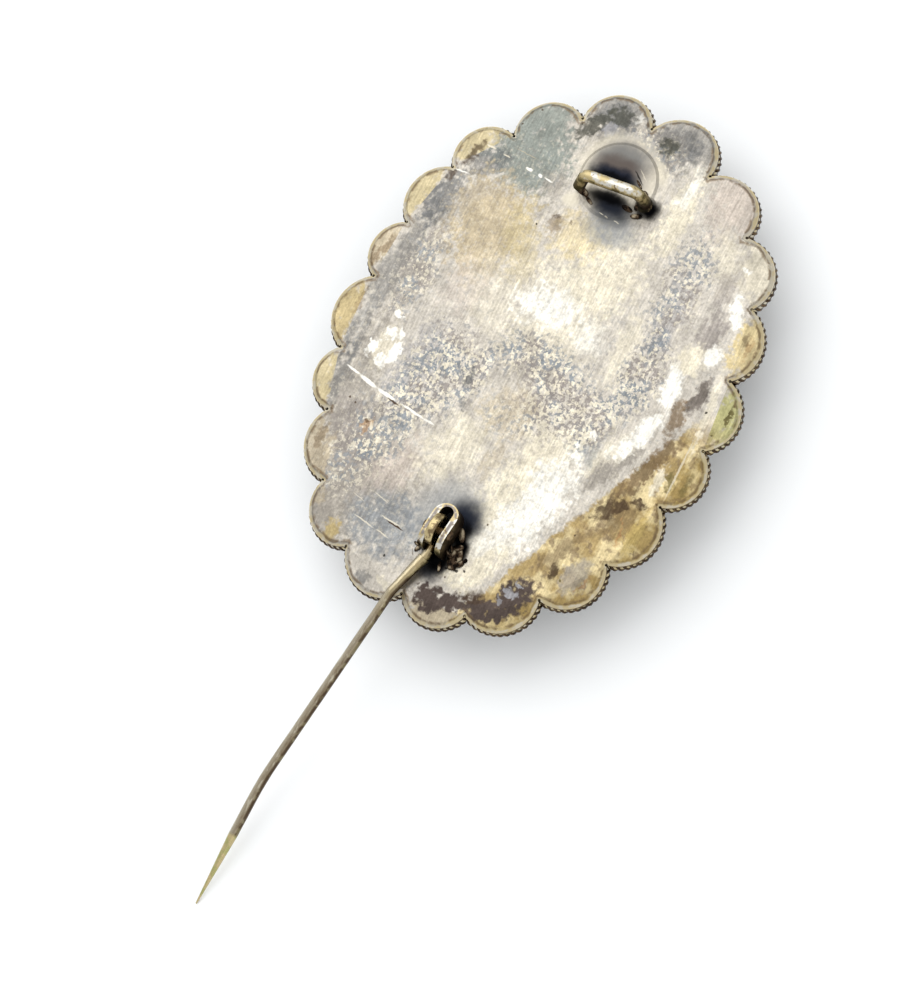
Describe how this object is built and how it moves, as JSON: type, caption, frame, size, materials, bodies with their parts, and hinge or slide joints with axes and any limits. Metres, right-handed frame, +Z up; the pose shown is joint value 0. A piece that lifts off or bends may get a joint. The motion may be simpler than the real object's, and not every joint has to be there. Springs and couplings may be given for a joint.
{
  "type": "scarab brooch",
  "caption": "Oval silver brooch with a scalloped edge, lying on a carved scarab, with a hinged pin swung open and a wire hook on its back.",
  "frame": {"origin": "middle of the scarab's flat crown, on the surface that the brooch lies on, face down", "axes": "+Z points up out of the brooch's back, +X runs along the oval from the hinge to the catch, +Y is the side that the hook's free end is on"},
  "size_m": [0.0924, 0.0439, 0.012],
  "materials": {
    "silver": "brushed silver, tarnished grey, mauve and brassy yellow",
    "stone": "carved and glazed blue-green stone",
    "rivet_metal": "dark worn wire",
    "pin_metal": "worn plated brass wire, bare and yellow at the point"
  },
  "bodies": {
    "brooch": {"silver_mount": "silver", "scarab_stone": "stone", "hinge_rivet": "rivet_metal"},
    "pin": {"pin": "pin_metal"}
  },
  "joints": [
    {"name": "pin_hinge", "type": "hinge", "parent": "brooch", "child": "pin", "pos_m": [-0.01965, -0.00025, 0.0104], "axis": [0.0419, 0.9991, 0], "range_deg": [-1.5, 193]}
  ]
}
